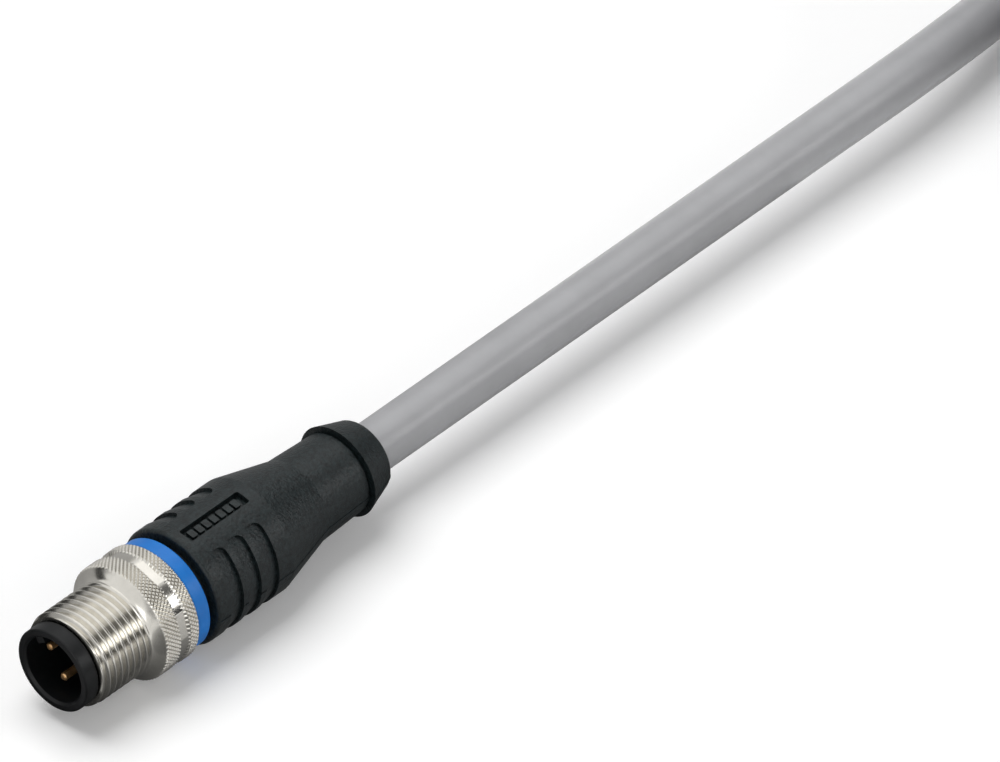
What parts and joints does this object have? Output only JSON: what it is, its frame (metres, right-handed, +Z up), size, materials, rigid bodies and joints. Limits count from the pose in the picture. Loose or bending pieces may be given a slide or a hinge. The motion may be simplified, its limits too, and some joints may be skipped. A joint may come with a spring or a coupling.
{
  "type": "power cable",
  "caption": "Round grey cable with a straight moulded plug, a freely turning threaded coupling nut, a colour ring, and a stripped far end with ferrules on its leads.",
  "frame": {"origin": "under the middle of the plug, on the surface that its grip rests on", "axes": "+X along the plug's axis from the mating face towards the cable, +Z up, +Y to the left when looking along +X"},
  "size_m": [0.2757, 0.06, 0.0229],
  "materials": {
    "carrier_black": "satin glass-filled plastic",
    "nickel": "satin nickel plating on turned brass",
    "ring_blue": "satin blue plastic",
    "mould_black": "satin black plastic",
    "grip_black": "fine spark-eroded texture",
    "jacket_grey": "smooth extruded jacket",
    "tie_black": "nylon",
    "contact_gold": "gold plating",
    "copper": "bare stranded copper",
    "tinned_copper": "tin plating",
    "ferrule_plastic": "moulded plastic",
    "core_brown": "extruded core insulation",
    "core_white": "extruded core insulation",
    "core_blue": "extruded core insulation",
    "core_black": "extruded core insulation"
  },
  "bodies": {
    "plug": {"contact_carrier": "carrier_black", "colour_ring": "ring_blue", "inner_mould": "mould_black", "grip_body": "grip_black", "cable_run": "jacket_grey", "cable_hank": "jacket_grey", "hank_tie_near": "tie_black", "hank_tie_far": "tie_black", "contact_pin_1": "contact_gold", "conductor_brown": "copper", "core_brown": "core_brown", "lead_brown": "core_brown", "ferrule_collar_brown": "ferrule_plastic", "ferrule_tube_brown": "tinned_copper", "contact_pin_2": "contact_gold", "conductor_white": "copper", "core_white": "core_white", "lead_white": "core_white", "ferrule_collar_white": "ferrule_plastic", "ferrule_tube_white": "tinned_copper", "contact_pin_3": "contact_gold", "conductor_blue": "copper", "core_blue": "core_blue", "lead_blue": "core_blue", "ferrule_collar_blue": "ferrule_plastic", "ferrule_tube_blue": "tinned_copper", "contact_pin_4": "contact_gold", "conductor_black": "copper", "core_black": "core_black", "lead_black": "core_black", "ferrule_collar_black": "ferrule_plastic", "ferrule_tube_black": "tinned_copper"},
    "coupling_nut": {"coupling_nut": "nickel"}
  },
  "joints": [
    {"name": "nut_spin", "type": "hinge", "parent": "plug", "child": "coupling_nut", "pos_m": [-0.0158, 0, 0.0075], "axis": [1, 0, 0], "continuous": true}
  ]
}
